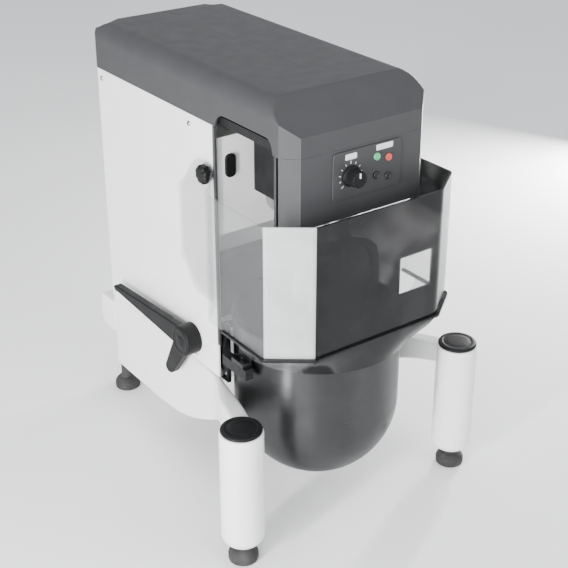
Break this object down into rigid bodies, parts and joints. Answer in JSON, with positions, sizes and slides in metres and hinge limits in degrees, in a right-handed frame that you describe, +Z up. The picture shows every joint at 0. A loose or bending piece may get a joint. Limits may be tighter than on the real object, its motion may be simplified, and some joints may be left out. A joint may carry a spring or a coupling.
{
  "type": "planetary mixer",
  "caption": "Bench-top planetary food mixer: slim column and overhanging head, lift-up bowl in a yoke, hinged clear bowl guard, hand lift lever, and a front pair of round legs.",
  "frame": {"origin": "on the floor, at the centre of the machine's bounding box", "axes": "+Z up, -Y towards the operator's side (controls), +X to the operator's right"},
  "size_m": [0.453, 0.592, 0.647],
  "materials": {
    "white_paint": "satin white enamel",
    "dark_moulding": "fine-grained dark grey moulding",
    "black_plastic": "satin black",
    "rubber": "matt",
    "stainless": "polished and brushed stainless steel",
    "ground_steel": "ground",
    "cast_aluminium": "cast, tumbled",
    "grey_iron": "painted dark grey",
    "clear_guard": "transparent polycarbonate",
    "green_button": "gloss",
    "red_button": "gloss",
    "circuit_board": "solder mask"
  },
  "bodies": {
    "frame": {"base_frame": "white_paint", "front_leg_right": "white_paint", "front_leg_left": "white_paint", "leg_cap_right": "black_plastic", "leg_cap_left": "black_plastic", "front_foot_right": "rubber", "front_foot_left": "rubber", "rear_foot_right": "rubber", "rear_foot_left": "rubber", "column_side_right": "white_paint", "column_side_left": "white_paint", "column_back": "white_paint", "column_wall": "white_paint", "column_front": "white_paint", "edge_trim_right": "dark_moulding", "edge_trim_left": "dark_moulding", "cable_gland": "black_plastic", "top_cover": "dark_moulding", "front_cap": "dark_moulding", "control_panel": "dark_moulding", "control_board": "circuit_board", "head_casting": "grey_iron", "gear_housing": "grey_iron", "ring_gear": "ground_steel", "lower_bearing": "ground_steel", "upper_bearing": "ground_steel", "drive_belt": "rubber", "motor": "grey_iron", "guide_rod_right": "ground_steel", "guide_rod_left": "ground_steel", "hinge_knob_right": "black_plastic", "hinge_knob_left": "black_plastic", "hinge_spacer_right": "stainless", "hinge_spacer_left": "stainless"},
    "planetary": {"planet_carrier": "cast_aluminium", "main_shaft": "ground_steel", "drive_pulley": "cast_aluminium"},
    "tool": {"tool_shaft": "stainless", "planet_gear": "ground_steel", "bayonet_pin": "stainless", "flat_beater": "cast_aluminium"},
    "motor_rotor": {"motor_shaft": "ground_steel", "motor_pulley": "cast_aluminium"},
    "lift": {"lift_yoke": "grey_iron"},
    "mixing_bowl": {"bowl": "stainless", "bowl_lug_right": "stainless", "bowl_lug_left": "stainless"},
    "lever": {"lift_shaft": "ground_steel", "lift_crank_right": "cast_aluminium", "lift_crank_left": "cast_aluminium", "lift_lever": "black_plastic"},
    "guard": {"bowl_guard": "clear_guard"},
    "knob": {"speed_knob": "black_plastic"},
    "start": {"start_button": "green_button"},
    "stop": {"stop_button": "red_button"},
    "timer_up": {"timer_up_button": "stainless"},
    "timer_down": {"timer_down_button": "stainless"}
  },
  "joints": [
    {"name": "planetary_spin", "type": "hinge", "parent": "frame", "child": "planetary", "pos_m": [0, -0.156, 0.472], "axis": [0, 0, 1], "continuous": true},
    {"name": "tool_spin", "type": "hinge", "parent": "planetary", "child": "tool", "pos_m": [0.035, -0.156, 0.472], "axis": [0, 0, 1], "continuous": true},
    {"name": "motor_spin", "type": "hinge", "parent": "frame", "child": "motor_rotor", "pos_m": [0, 0.136, 0.602], "axis": [0, 0, 1], "continuous": true},
    {"name": "bowl_lift", "type": "slide", "parent": "frame", "child": "lift", "axis": [0, 0, 1], "range_m": [0, 0.07]},
    {"name": "lever_turn", "type": "hinge", "parent": "frame", "child": "lever", "pos_m": [0, -0.009, 0.22], "axis": [-1, 0, 0], "range_deg": [0, 62.2]},
    {"name": "bowl_off", "type": "slide", "parent": "lift", "child": "mixing_bowl", "axis": [0, 0, 1], "range_m": [0, 0.008]},
    {"name": "guard_tilt", "type": "hinge", "parent": "frame", "child": "guard", "pos_m": [0, -0.068, 0.506], "axis": [-1, 0, 0], "range_deg": [0, 70]},
    {"name": "speed_knob_turn", "type": "hinge", "parent": "frame", "child": "knob", "pos_m": [-0.021, -0.249, 0.538], "axis": [0, 1, 0], "range_deg": [-135, 135]},
    {"name": "start_press", "type": "slide", "parent": "frame", "child": "start", "axis": [0, 1, 0], "range_m": [0, 0.002], "stiffness_N_per_m": 600, "springref_m": -0.001},
    {"name": "stop_press", "type": "slide", "parent": "frame", "child": "stop", "axis": [0, 1, 0], "range_m": [0, 0.002], "stiffness_N_per_m": 600, "springref_m": -0.001},
    {"name": "timer_up_press", "type": "slide", "parent": "frame", "child": "timer_up", "axis": [0, 1, 0], "range_m": [0, 0.002], "stiffness_N_per_m": 600, "springref_m": -0.001},
    {"name": "timer_down_press", "type": "slide", "parent": "frame", "child": "timer_down", "axis": [0, 1, 0], "range_m": [0, 0.002], "stiffness_N_per_m": 600, "springref_m": -0.001}
  ],
  "couplings": [
    {"joint": "tool_spin", "follows": "planetary_spin", "ratio": -2.6667},
    {"joint": "motor_spin", "follows": "planetary_spin", "ratio": 3},
    {"joint": "lever_turn", "follows": "bowl_lift", "rad_per_m": 15.459}
  ]
}
